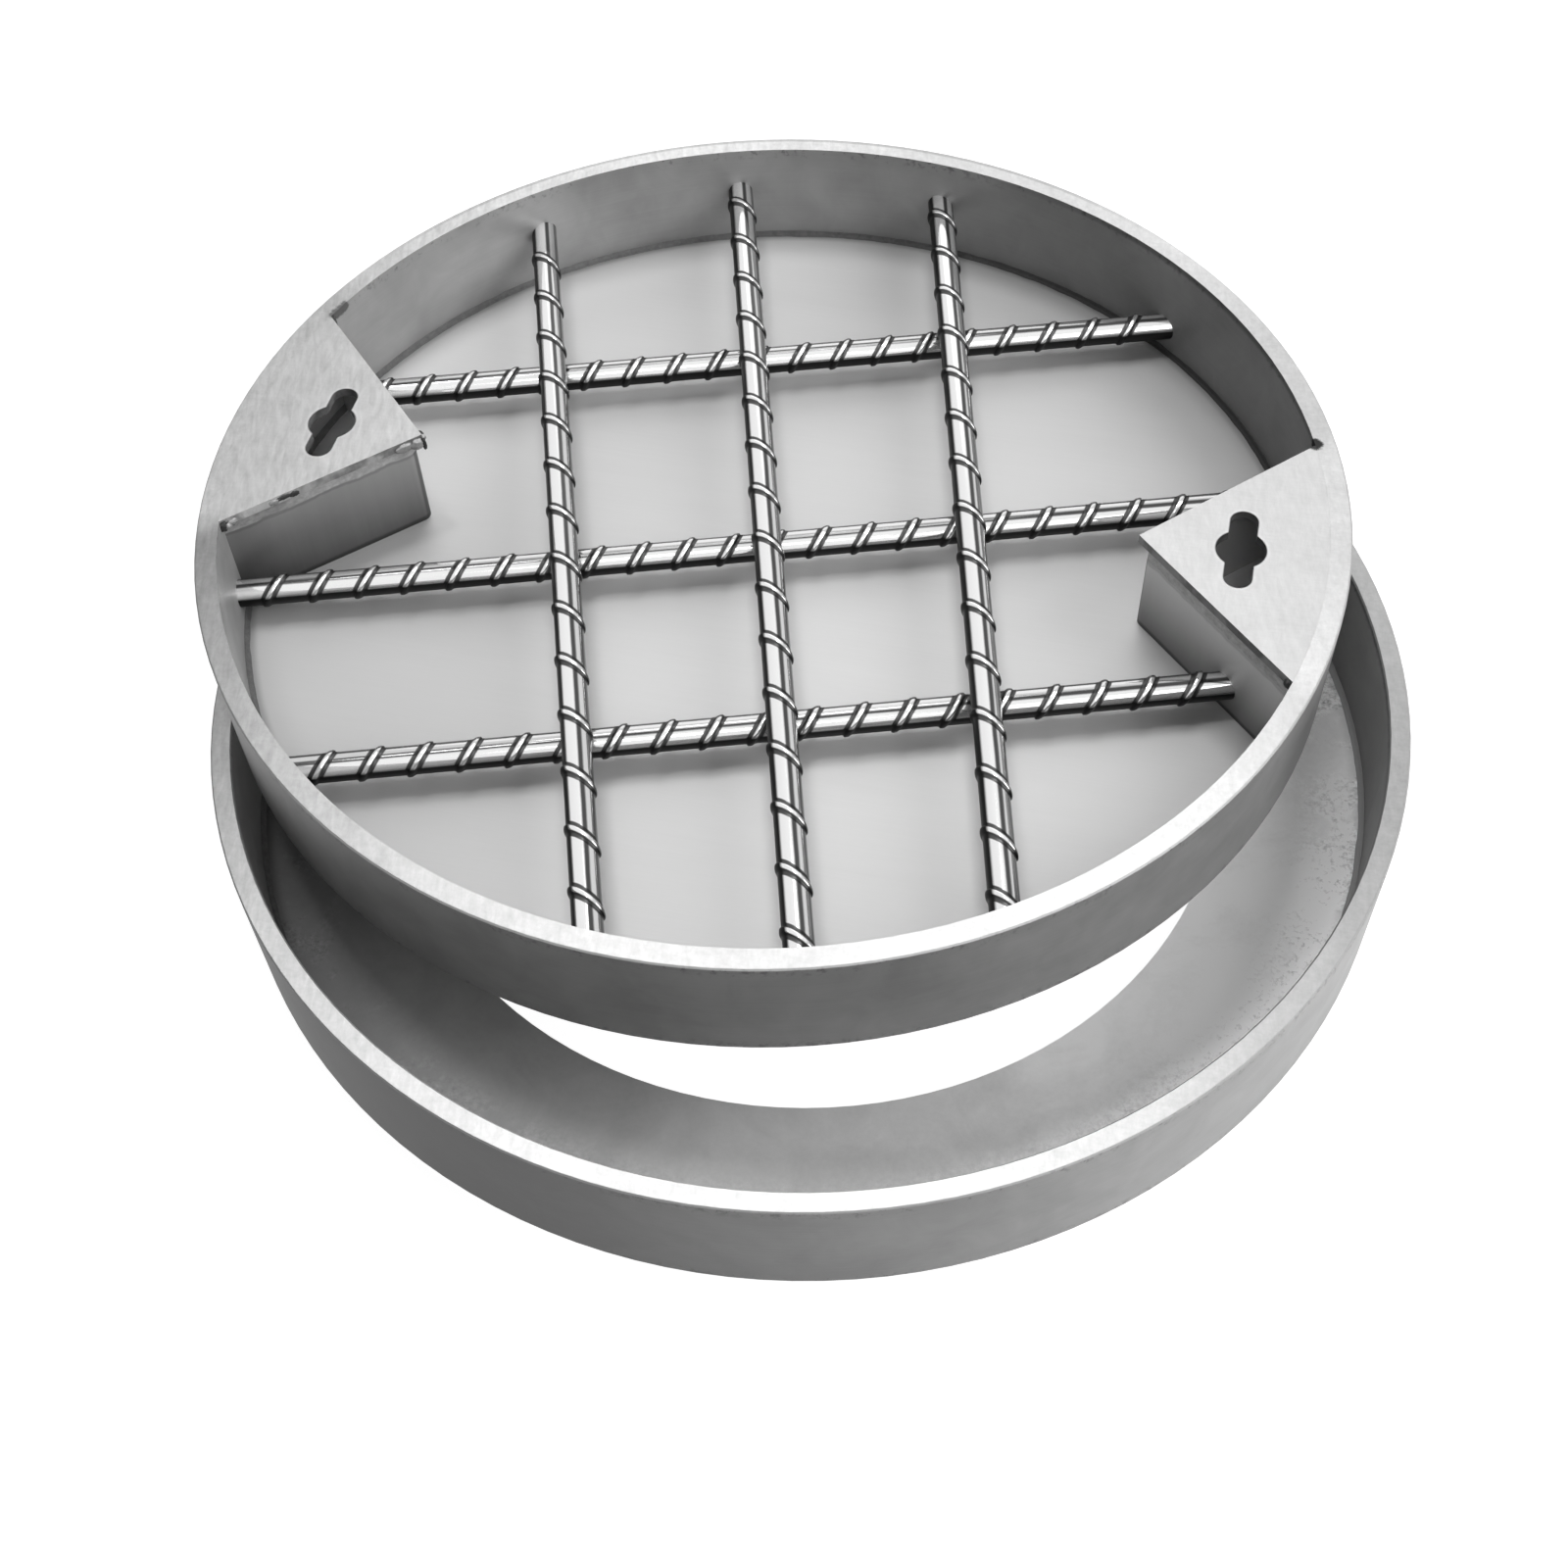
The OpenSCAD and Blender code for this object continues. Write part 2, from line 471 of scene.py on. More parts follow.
def weld_ends(grid):
    """Where the straight edges of the key plates meet the tray's wall: (side, hand, place)."""
    half = grid.pocket_half_angle
    edge = -grid.plate_corner * math.cos(half) + math.sqrt(
        TRAY_BORE**2 - (grid.plate_corner * math.sin(half)) ** 2
    )
    ends = []
    for side, turn in SIDE_TURNS.items():
        for hand in (-1, 1):
            way = Vector((math.cos(half), hand * math.sin(half), 0))
            end = Matrix.Rotation(turn, 3, "Z") @ (Vector((grid.plate_corner, 0, 0)) + way * edge)
            ends.append((side, hand, end + Vector((TRAY_X, TRAY_Y, TRAY_HIGH.z))))
    return ends


# Burnt spots at the back end of each key plate, at the right plate also painted shade in the gap at
# its corner: hand of the plate's edge, turns of the spots along the rim in degrees, reach of a spot
# and how dark it is
BURNT_SPOTS = {
    "left": (-1, (0.2, 1.0, 1.8, 2.5), 3.2 * MM, 0.65),
    "right": (1, (0.2,), 4.4 * MM, 1.0),
}
BURNT_DEPTH = 1.6 * MM
BURNT_FADE = 1.4 * MM
BURNT_COVER = 0.95
BURNT_ROUGHNESS = 0.4


def burnt_and_shaded_corners(shader, place, grid):
    """Up to 1 in the dark spots at the back ends of both key plates: weld scale and painted shade."""
    ragged = (shader.grain(place, 330.0, 4.0, 0.7) - 0.5) * 3.4 * MM
    middle = Vector((TRAY_X, TRAY_Y, TRAY_HIGH.z))
    spots = 0.0
    for side, hand, end in weld_ends(grid):
        burnt_hand, turns, reach, darkness = BURNT_SPOTS[side]
        if hand != burnt_hand:
            continue
        for turn in turns:
            turned = Matrix.Rotation(math.radians(turn * hand), 3, "Z") @ (end - middle)
            away = shader.distance(place, middle + turned - Vector((0, 0, BURNT_DEPTH)))
            spot = shader.rise(away + ragged, reach, reach - BURNT_FADE)
            spots = shader.most(spots, spot * darkness)
    return spots


# The two rolled walls: middle, outer and bore radius, low and high edge, the painted light that makes
# the inside lighter all round and the painted light and shade that make the outside lighter or darker
# at the left, the front and the right
FRAME_WALL = {
    "middle": (0.0, 0.0),
    "outer": FRAME_RADIUS,
    "bore": FRAME_BORE,
    "low": FRAME_LOW.z,
    "high": FRAME_HIGH.z,
    "painted_inside_light": 0.10,
    "painted_outside_light": (-0.86, -0.05, 0.45),
}
TRAY_WALL = {
    "middle": (TRAY_X, TRAY_Y),
    "outer": TRAY_RADIUS,
    "bore": TRAY_BORE,
    "low": TRAY_LOW.z,
    "high": TRAY_HIGH.z,
    "painted_inside_light": 0.0,
    "painted_outside_light": (-0.13, 0.17, 0.14),
}


def rolled_side(shader, place, wall, x, y, grid):
    """Tone of a rolled wall's mill faces, with painted light and shade over them."""
    z = shader.axis(place, "Z")
    low, high = wall["low"], wall["high"]
    from_middle = shader.length(x, y)
    # Mill lines run round the wall, and soft clouds lie over them
    lines = shader.grain(shader.stretched(place, (18.0, 18.0, 1400.0)), 1.0, 3.0, 0.5)
    clouds = shader.grain(place, 14.0, 3.0, 0.6, 0.4)
    patches = shader.grain(place, 46.0, 3.0, 0.6, 0.9)
    specks = shader.grain(place, 320.0, 4.0, 0.7)
    near_edge = shader.rise(z, high - 7 * MM, high - 0.5 * MM) + shader.rise(z, low + 6 * MM, low)
    edge_marks = shader.rise(specks * 0.7 + clouds * 0.3, 0.52, 0.62) * near_edge
    tone = 0.96 + (lines - 0.5) * 0.12 + (clouds - 0.5) * 0.75 + (patches - 0.5) * 0.3
    tone = tone - edge_marks * 0.45

    # Painted shade makes the inside a little darker towards its foot, and painted light makes it
    # lighter towards the back left
    inside = shader.rise(from_middle, wall["outer"] - 1 * MM, wall["bore"] + 1 * MM)
    depth = shader.rise(z, high - 8 * MM, low)
    tone = tone * (1 - inside * depth * 0.22)
    back_left = towards(x, y, (-0.94, 0.35)) / from_middle
    tone = tone * (0.97 + inside * (back_left * 0.40 + wall["painted_inside_light"]))
    # Painted shade just under the rim on the inside, towards the right
    painted_shade_under_rim = shader.rise(z, high - 4 * MM, high - 1.5 * MM) * shader.rise(x, 40 * MM, 160 * MM)

    # Painted light and shade make the outside lighter or darker at the left, the front and the right
    outside = 1 - inside
    view_right = towards(x, y, VIEW_RIGHT) / from_middle
    at_left = shader.rise(view_right, 0.25, -0.7)
    at_front = shader.rise(-y / from_middle, 0.3, 1.0)
    at_right = shader.rise(view_right, -0.1, 0.75)
    for there, gain in zip((at_left, at_front, at_right), wall["painted_outside_light"]):
        tone = tone * (1 + outside * there * gain)
    tone = tone * (1 - inside * painted_shade_under_rim * 0.5)
    if grid:
        # Painted shade darkens the wall's right end, and painted light lightens the inside of the
        # pockets
        tone = tone * (1 - outside * shader.rise(x / from_middle, 0.90, 0.97) * 0.35)
        below_rim = shader.rise(z, high - 3.5 * MM, high - 4.5 * MM)
        tone = tone + in_pockets(shader, place, grid) * below_rim * inside * 1.3
    return tone, lines, clouds, specks


def painted_rim_light(shader, wall, x, y, grid):
    """How much painted light a ground rim gets round the wall."""
    from_middle = shader.length(x, y)
    across_x = x / from_middle
    along_y = y / from_middle
    painted_shine = 0.78 + along_y * along_y * 0.18
    if grid:
        painted_shine = painted_shine + across_x * 0.28
        back_right = shader.rise(towards(x, y, (0.34, 0.94)) / from_middle, 0.78, 1.0)
        view_right = towards(x, y, VIEW_RIGHT) / from_middle
        view_away = towards(x, y, VIEW_AWAY) / from_middle
        back_left = shader.rise(view_right, 0.45, -0.25) * shader.rise(view_away, 0.35, 0.65)
        painted_shine = painted_shine + back_right * 0.26 + back_left * 0.68
        # Painted shade on the outer arris at the back
        painted_arris_shade = shader.rise(from_middle, wall["outer"] - 3.0 * MM, wall["outer"] - 1.8 * MM)
        painted_shine = painted_shine * (1 - painted_arris_shade * shader.rise(view_away, 0.6, 0.85) * 0.28)
        # Next to the key plates the rim is ground in one pass with them, and gets their painted light
        start = grid.plate_corner - 12 * MM
        dressed = shader.rise(abs(x) - abs(y), start, start + 26 * MM)
        painted_shine = painted_shine + dressed * (1.19 + across_x * 0.09 - painted_shine)
    return painted_shine


def rolled_finish(name, finishes, wall, grid=None):
    """A rolled wall: dull mill face on its sides, ground rim on top and bottom.

    grid is given for the wall that the key plates are welded to.
    """
    material, shader = new_material(name)
    place = shader.place()
    x = shader.axis(place, "X") - wall["middle"][0]
    y = shader.axis(place, "Y") - wall["middle"][1]
    side, lines, clouds, specks = rolled_side(shader, place, wall, x, y, grid)

    # The outer arris of the rim is slightly dark
    arris = shader.rise(shader.length(x, y), wall["outer"] - 1.4 * MM, wall["outer"] - 0.5 * MM)
    rim = ground_tone(shader, place) * (1 - arris * 0.10) * painted_rim_light(shader, wall, x, y, grid)
    rim = rim * (1 + (specks - 0.5) * 0.35)
    on_rim = shader.rise(abs(shader.axis(shader.facing(), "Z")), 0.55, 0.85)

    colour = shader.mixed(
        on_rim, shader.shaded(finishes.rolled, side), shader.shaded(finishes.ground, rim)
    )
    roughness = 0.42 + clouds * 0.10 - on_rim * 0.08
    if grid:
        burnt = burnt_and_shaded_corners(shader, place, grid)
        colour = shader.mixed(burnt * BURNT_COVER, colour, finishes.scale)
        roughness = roughness + burnt * BURNT_ROUGHNESS
    height = lines * 0.25 + specks * 0.45 + clouds * 0.3
    metallic = 0.28 + on_rim * 0.27
    # The grinding marks run round, so the rim shines across them
    constants = {"Anisotropic": 0.7, "Specular IOR Level": 0.25}
    shader.metal(colour, roughness, height, 0.06 * MM, metallic, **constants)
    return material


def ledge_finish(finishes):
    """The ledge: dull plate with granular heat marks beside its weld, and painted light to the right.
    """
    material, shader = new_material("ledge_plate")
    place = shader.place()
    x = shader.axis(place, "X")
    y = shader.axis(place, "Y")
    from_middle = shader.length(x, y)
    grains = shader.grain(place, 420.0, 5.0, 0.75)
    clouds = shader.grain(place, 11.0, 3.0, 0.55, 0.8)
    patches = shader.grain(place, 30.0, 4.0, 0.65, 1.2)
    near_weld = shader.rise(from_middle, FRAME_BORE - 34 * MM, FRAME_BORE - 4 * MM)
    front_right = shader.rise(towards(x, y, (0.6, -0.8)), 60 * MM, 200 * MM)
    marked = near_weld * shader.rise(patches + front_right * 0.12, 0.46, 0.60)
    burnt = shader.rise(from_middle, FRAME_BORE - 7 * MM, FRAME_BORE - 1 * MM)
    tone = 0.96 + (clouds - 0.5) * 0.6 + (patches - 0.5) * 0.3
    tone = tone + (grains - 0.5) * (0.16 + marked * 2.4)
    tone = tone * (1 - burnt * 0.25)
    # Painted light makes the ledge lighter towards the right
    turned = towards(x, y, (0.75, -0.15)) / from_middle
    turned = turned + shader.rise(x, -40 * MM, 160 * MM) * 0.08
    colour = shader.shaded(finishes.ledge, tone * (0.80 + turned))
    height = grains * (0.25 + marked * 0.75) + clouds * 0.2
    shader.metal(colour, 0.46 + clouds * 0.08, height, 0.09 * MM, 0.3)
    return material


def floor_finish(finishes, grid):
    """The tray's floor: smooth cold rolled sheet with very fine lines."""
    material, shader = new_material("cold_rolled_sheet")
    place = shader.place()
    x, y = from_tray(shader, place)
    from_middle = shader.length(x, y)
    lines = shader.grain(shader.stretched(place, (14.0, 1500.0, 14.0)), 1.0, 3.0, 0.5)
    clouds = shader.grain(place, 7.0, 2.0, 0.5, 0.3)
    smears = shader.grain(shader.stretched(place, (9.0, 40.0, 9.0)), 1.0, 3.0, 0.6, 0.5)
    tone = 0.88 + lines * 0.05 + clouds * 0.10 + smears * 0.06
    # Painted shade makes it darker near the wall, and the joint is a darker line
    near_wall = shader.rise(from_middle, TRAY_BORE - 20 * MM, TRAY_BORE - 1 * MM)
    join = shader.rise(from_middle, TRAY_BORE - 6 * MM, TRAY_BORE - 2 * MM)
    tone = tone * (1 - near_wall * 0.12) * (1 - join * 0.35)
    # Painted light and shade: lighter towards the back left and across the middle, darker at the
    # front and the left
    at_back_left = shader.rise(towards(x, y, (-0.75, 0.66)), 70 * MM, 230 * MM)
    tone = tone * (1 + at_back_left * 0.40)
    across_middle = shader.rise(abs(y), 150 * MM, 30 * MM)
    at_front = shader.rise(y, -90 * MM, -190 * MM)
    at_left = shader.rise(x, -40 * MM, -140 * MM)
    tone = tone * (1.03 + across_middle * 0.07 - at_front * 0.11 - at_left * 0.08)
    # Painted light inside the key pockets
    tone = tone + in_pockets(shader, place, grid)
    height = lines * 0.6 + smears * 0.4
    shader.metal(
        shader.shaded(finishes.sheet, tone), 0.42 + clouds * 0.08, height, 0.03 * MM, 0.3
    )
    return material


# Painted light: how light the top and the sheared edges of each key plate are
PAINTED_PLATE_LIGHT = {"left": (1.10, 1.0), "right": (1.24, 0.5)}


def plate_finish(finishes, grid, side):
    """A key plate with painted light: ground top like the rim, mottled sheared edges, a rubbed
    keyhole.
    """
    material, shader = new_material(f"ground_plate_{side}")
    painted_shine, painted_edge_light = PAINTED_PLATE_LIGHT[side]
    place = shader.place()
    up = abs(shader.axis(shader.facing(), "Z"))
    on_top = shader.rise(up, 0.5, 0.9)
    top = ground_tone(shader, place) * painted_shine

    # How far a point lies outside the keyhole: a slot with a round hole in its middle
    x, y = from_tray(shader, place)
    across = abs(x) - (grid.plate_corner + grid.keyhole_set)
    along = abs(y)
    slot_end = shader.most(along - (grid.slot_length - grid.slot_width) / 2, 0.0)
    from_slot = shader.length(across, slot_end) - grid.slot_width / 2
    from_hole = shader.length(across, along) - grid.shank_hole / 2
    from_keyhole = shader.least(from_slot, from_hole)
    # Wear and a painted highlight make the ring round the keyhole lighter
    rubbed_and_highlit = shader.rise(from_keyhole, 1.8 * MM, 0.7 * MM)
    burr = shader.rise(from_keyhole, 0.45 * MM, 0.1 * MM)
    top = (top + rubbed_and_highlit * 0.10) * (1 - burr * 0.55)

    nicks = shader.grain(shader.stretched(place, (420.0, 420.0, 230.0)), 1.0, 4.0, 0.7)
    stains = shader.grain(place, 60.0, 3.0, 0.6, 0.5)
    edge = (0.30 + nicks * 0.55 + shader.rise(stains, 0.42, 0.60) * 0.55) * painted_edge_light
    # Painted shade darkens the sheared edges down the keyhole
    in_keyhole = shader.rise(from_keyhole, 3 * MM, 1 * MM)
    edge = edge * (1 - in_keyhole * 0.4)
    colour = shader.mixed(
        on_top, shader.shaded(finishes.ground, edge), shader.shaded(finishes.ground, top)
    )
    burnt = burnt_and_shaded_corners(shader, place, grid)
    colour = shader.mixed(burnt * BURNT_COVER, colour, finishes.scale)
    roughness = 0.40 - on_top * 0.06 + burnt * BURNT_ROUGHNESS
    height = nicks * (1 - on_top) + top * 0.5
    shader.metal(colour, roughness, height, 0.10 * MM, 0.5)
    return material


# How each pocket wall looks: its tone at the foot and at the top, a painted shade towards the floor,
# the tone of the weld under its plate's edge, how far down that weld reaches and how dark the painted
# shade in its undercut is
POCKET_LOOKS = {
    "left": (0.20, 1.12, 1.7, 6.4 * MM, 0.0),
    "right": (0.42, 3.2, 1.9, 8.2 * MM, 0.55),
}


def pocket_finish(finishes, side):
    """A folded pocket wall: satin sheet, painted shade darker towards the floor and black at its
    foot.

    Painted light makes the inside of a pocket lighter, and a weld runs under the plate's edge.
    """
    material, shader = new_material(f"folded_sheet_{side}")
    foot_tone, top_tone, weld_tone, weld_reach, undercut = POCKET_LOOKS[side]
    place = shader.place()
    x, y = from_tray(shader, place)
    z = shader.axis(place, "Z")
    lines = shader.grain(shader.stretched(place, (260.0, 260.0, 9.0)), 1.0, 3.0, 0.5)
    clouds = shader.grain(place, 22.0, 3.0, 0.6, 0.5)
    # Painted shade: darker from the top down towards the foot
    climb = shader.rise(z, POCKET_LOW.z - 6 * MM, POCKET_HIGH.z + 6 * MM)
    tone = foot_tone + climb * (top_tone - foot_tone)
    tone = tone + (lines - 0.5) * 0.10 + (clouds - 0.5) * 0.14
    # Painted shade: nearly black along the foot
    above_floor = z - POCKET_LOW.z + (clouds - 0.5) * 2 * MM
    tone = tone * (1 - shader.rise(above_floor, 3.2 * MM, 1.2 * MM) * 0.75)
    if side == "left":
        # Painted light towards its right end and painted shade where it meets the wall
        tone = tone * (1 + shader.rise(x, -218 * MM, -160 * MM) * 0.35)
        tone = tone * (1 - shader.rise(x, -202 * MM, -220 * MM) * 0.45)
    # Painted shade along the fold
    painted_fold_shade = shader.rise(abs(y), 2.4 * MM, 1.0 * MM)
    tone = tone * (1 - painted_fold_shade * 0.62)

    # The fillet weld, with painted shade in a line below its lip and in its undercut
    beads = shader.grain(shader.stretched(place, (300.0, 300.0, 420.0)), 1.0, 4.0, 0.7)
    waves = shader.grain(place, 110.0, 2.0, 0.5)
    down = POCKET_HIGH.z - z + (waves - 0.5) * 3 * MM
    weld = shader.rise(down, weld_reach, weld_reach - 0.8 * MM)
    painted_lip_shade = shader.rise(down, weld_reach + 1.8 * MM, weld_reach + 0.6 * MM) - weld
    sunk = shader.rise(down, 3.2 * MM, 1.6 * MM)
    bead_tone = (0.35 + beads * 1.3) * (1 - sunk * undercut) * weld_tone
    if side == "left":
        bead_tone = bead_tone * (1 - shader.rise(x, -190 * MM, -206 * MM) * 0.4)
    tone = tone * (1 - painted_lip_shade * 0.25) * (1 - weld) + weld * bead_tone

    # Painted light makes the faces inside the pocket much lighter
    outwards = 1 if side == "right" else -1
    inner = shader.rise(shader.axis(shader.facing(), "X") * outwards, 0.2, 0.4)
    tone = tone * (1 - inner) + inner * 2.3
    height = lines * 0.5 + clouds * 0.5
    shader.metal(
        shader.shaded(finishes.folded, tone), 0.42 + clouds * 0.08, height, 0.05 * MM, 0.3
    )
    return material


def bar_finish(finishes):
    """Bright drawn steel with painted reflections and painted shade underneath and beside the ribs.
    """
    material, shader = new_material("bright_bar")
    place = shader.place()
    # Turn round the bar from the middle of its painted highlight, in radians
    turn = shader.painted("bar_turn")
    root = shader.painted("rib_root")
    ridge = shader.painted("rib_rise")
    clouds = shader.grain(place, 60.0, 2.0, 0.5)
    wander = (clouds - 0.5) * 0.05
    # Painted shade under the bar and on its far edge
    under = shader.rise(turn + wander, 0.54, 0.80)
    behind = shader.rise(turn, -1.75, -2.1)
    # Painted reflections: a dark line high on the bar, a dark edge line and a pale band
    reflected_upper_line = shader.rise(abs(turn + wander + 0.33), 0.24, 0.08) * (1 - ridge)
    reflected_edge_line = shader.rise(turn + wander, -0.88, -1.05)
    pale = shader.rise(turn, -0.40, -0.52)
    # Painted shade in the roots beside the ribs, in the colour of the dark scale
    dark = shader.rise(root, 0.1, 0.6)
    share = 1 - (1 - under) * (1 - behind) * (1 - dark * 0.92)
    dull = 1 - (1 - reflected_upper_line) * (1 - reflected_edge_line * 0.84) * (1 - pale * 0.32)
    colour = shader.mixed(
        share, shader.mixed(dull, finishes.bright, finishes.painted_reflection_line), finishes.scale
    )
    roughness = 0.07 + clouds * 0.04 + share * 0.3
    shader.metal(colour, roughness, clouds, 0.003 * MM, 0.75)
    return material


def weld_finish(finishes, grid):
    """Brushed weld metal: rippled and darker than the sheet."""
    material, shader = new_material("weld_metal")
    place = shader.place()
    ripples = shader.grain(place, 350.0, 4.0, 0.7, 0.8)
    # Darker towards the right, and painted light inside the key pockets
    left = shader.rise(shader.axis(place, "X"), 120 * MM, -160 * MM)
    tone = (0.14 + ripples * 0.60) * (0.18 + left * 0.82) + in_pockets(shader, place, grid) * 1.2
    colour = shader.shaded(finishes.folded, tone)
    shader.metal(colour, 0.55 + ripples * 0.2, ripples, 0.2 * MM, 0.5)
    return material


def tack_finish(finishes):
    """Weld metal of the tacks, brushed light."""
    material, shader = new_material("tack_metal")
    ripples = shader.grain(shader.place(), 420.0, 4.0, 0.7, 0.8)
    colour = shader.shaded(finishes.ground, 0.30 + ripples * 0.80)
    shader.metal(colour, 0.40 + ripples * 0.2, ripples, 0.25 * MM, 0.5)
    return material


def scale_finish(finishes):
    """Burnt weld metal: nearly black, with a few bright spots."""
    material, shader = new_material("burnt_weld")
    place = shader.place()
    spots = shader.grain(place, 480.0, 4.0, 0.75)
    bright = shader.rise(spots, 0.56, 0.72)
    colour = shader.mixed(0.12 + bright * 0.5, finishes.scale, finishes.folded)
    shader.metal(colour, 0.5 + spots * 0.2, spots, 0.3 * MM, 0.5)
    return material


# Meshes


def add_piece(name, mesh_maker, material):
    """Turns a bmesh into a piece that rides with the part."""
    mesh = bpy.data.meshes.new(name)
    bmesh.ops.recalc_face_normals(mesh_maker, faces=mesh_maker.faces)
    mesh_maker.to_mesh(mesh)
    mesh_maker.free()
    mesh.materials.append(material)
    piece = bpy.data.objects.new(name, mesh)
    bpy.context.scene.collection.objects.link(piece)
    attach(piece, "root")
    return piece


# Height of a rib across its width: distance from its crest in half widths, share of its height,
# and how deep in the painted shade at its root the point lies
RIB_SHAPE = (
    (-3.2, 0.0, 0.0),
    (-2.55, 0.0, 0.0),
    (-2.2, 0.0, 0.5),
    (-1.9, 0.0, 1.0),
    (-1.45, 0.03, 1.0),
    (-1.2, 0.14, 1.0),
    (-1.0, 0.38, 0.9),
    (-0.8, 0.68, 0.5),
    (-0.5, 0.92, 0.0),
    (0.0, 1.0, 0.0),
    (0.5, 0.92, 0.0),
    (0.8, 0.68, 0.5),
    (1.0, 0.38, 0.9),
    (1.2, 0.14, 1.0),
    (1.45, 0.03, 1.0),
    (1.9, 0.0, 1.0),
    (2.2, 0.0, 0.5),
    (2.55, 0.0, 0.0),
    (3.2, 0.0, 0.0),
)


def wall_reach(across):
    """How far a line at that offset runs from its middle to the tray's wall."""
    return math.sqrt(TRAY_BORE**2 - across**2)


def pocket_reach(grid, across):
    """How far a line along a cross bar runs to the faces of the pocket on its right."""
    turn, half = grid.turn, grid.pocket_half_angle
    face = grid.pocket_face * math.sin(half)
    back = (face + across * math.cos(turn - half)) / math.sin(half - turn)
    front = (face - across * math.cos(turn + half)) / math.sin(half + turn)
    return max(back, front)


def ribbed_bar(name, node, bars, turn, across, height, ribs, painted_highlight_side, reach, material):
    """A bar along its own X, with ribs that lean, ended by what it meets.

    ribs holds the pitch and slant of the ribs and the roll of the bar. painted_highlight_side holds
    the angle round the bar at which the painted highlight lies and the way in which its turn is
    counted. reach gives how far a line at an offset runs to a pocket on its right. The left end
    mirrors it.
    """
    pitch, slant, roll = ribs
    painted_highlight_middle, counted = painted_highlight_side
    core = bars.core / 2
    crest = core + bars.rib_height
    slope = math.tan(slant)
    half_rib = bars.rib_width / 2 / math.cos(slant)
    rib_room = crest * slope + half_rib

    def bar_reach(offset):
        """How far the ribs have room, measured on the bar's outer side."""
        wall = wall_reach(abs(offset) + core)
        return min(wall, reach(offset)) if reach else wall

    def line_reach(offset):
        """How far one line of the bar's surface runs."""
        wall = wall_reach(offset)
        return min(wall, reach(offset)) if reach else wall

    first = -bar_reach(-across) + bars.plain_end + rib_room
    last = bar_reach(across) - bars.plain_end - rib_room
    spare = (last - first) % pitch
    crests = []
    place = first + spare / 2
    while place <= last + 1e-6 * MM:
        crests.append(place)
        place += pitch

    rows = [("left", 0.0, 0.0, 0.0)]
    for crest_x in crests:
        for step, rise, root in RIB_SHAPE:
            rows.append(("rib", crest_x + step * half_rib, rise, root))
    rows.append(("right", 0.0, 0.0, 0.0))

    count = bars.points_round
    maker = bmesh.new()
    root_layer = maker.verts.layers.float.new("rib_root")
    rise_layer = maker.verts.layers.float.new("rib_rise")
    turn_layer = maker.verts.layers.float.new("bar_turn")
    rings = []
    for kind, along, rise, root in rows:
        ring = []
        radius = core + bars.rib_height * rise
        for step in range(count):
            way_round = 2 * math.pi * step / count
            side, up = radius * math.cos(way_round), radius * math.sin(way_round)
            if kind == "left":
                x = -line_reach(-(across + side))
            elif kind == "right":
                x = line_reach(across + side)
            else:
                x = along + (side * math.cos(roll) + up * math.sin(roll)) * slope
            vertex = maker.verts.new((x, across + side, height + up))
            vertex[root_layer] = root
            vertex[rise_layer] = rise
            from_bright = counted * (way_round - painted_highlight_middle)
            vertex[turn_layer] = math.remainder(from_bright, 2 * math.pi)
            ring.append(vertex)
        rings.append(ring)
    for near, far in zip(rings, rings[1:]):
        for step in range(count):
            after = (step + 1) % count
            maker.faces.new((near[step], near[after], far[after], far[step])).smooth = True
    for ring in (rings[0], rings[-1]):
        maker.faces.new(ring)
        for step in range(count):
            edge = maker.edges.get((ring[step], ring[(step + 1) % count]))
            edge.smooth = False
    turned = Matrix.Translation((TRAY_X, TRAY_Y, TRAY_LOW.z)) @ Matrix.Rotation(turn, 4, "Z")
    bmesh.ops.transform(maker, matrix=turned, verts=maker.verts)
    piece = add_piece(name, maker, material)
    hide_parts(node)
    return piece


# Points round a weld seam
SEAM_POINTS = 540


def seam(name, path, welds, material, slot, seed):
    """A weld that runs round an inner corner along a closed path of (place, outward) pairs.

    outward points from the corner along the flat face, and the weld's other leg stands on +Z. Its
    face is slightly hollow and wanders, as a brushed seam does.
    """
    maker = bmesh.new()
    rings = []
    for place, outward in path:
        shake = noise.noise_vector(Vector(place) * 140.0 + Vector((seed, 0.0, 0.0)))
        ripple = noise.noise(Vector(place) * 420.0 + Vector((0.0, seed, 0.0)))
        width = welds.seam + welds.unevenness * (shake.x + 0.5 * ripple)
        rise = welds.seam + welds.unevenness * (shake.y + 0.5 * ripple)
        middle = 0.36 + 0.05 * ripple
        # Section of the weld as (out, up) in shares of its legs, sunk a little into both faces
        section = (
            (-0.15, -0.1),
            (1.0, -0.1),
            (0.97, 0.06),
            (middle + 0.22, 0.16),
            (middle, middle),
            (0.16, middle + 0.22),
            (0.06, 0.97),
            (-0.15, 1.0),
        )
        ring = []
        for out, up in section:
            spot = Vector(place) + Vector(outward) * (out * width) + Vector((0, 0, up * rise))
            ring.append(maker.verts.new(spot))
        rings.append(ring)
    size = len(rings[0])
    for near, far in zip(rings, rings[1:] + rings[:1]):
        for step in range(size):
            after = (step + 1) % size
            maker.faces.new((near[step], near[after], far[after], far[step])).smooth = True
    return add_piece(name, maker, material)


def ring(middle, radius, z):
    """A closed path round a bore, with the way to its middle at each point."""
    path = []
    for step in range(SEAM_POINTS):
        way_round = 2 * math.pi * step / SEAM_POINTS
        away = Vector((math.cos(way_round), math.sin(way_round), 0))
        path.append((Vector((*middle, z)) + away * radius, -away))
    return path


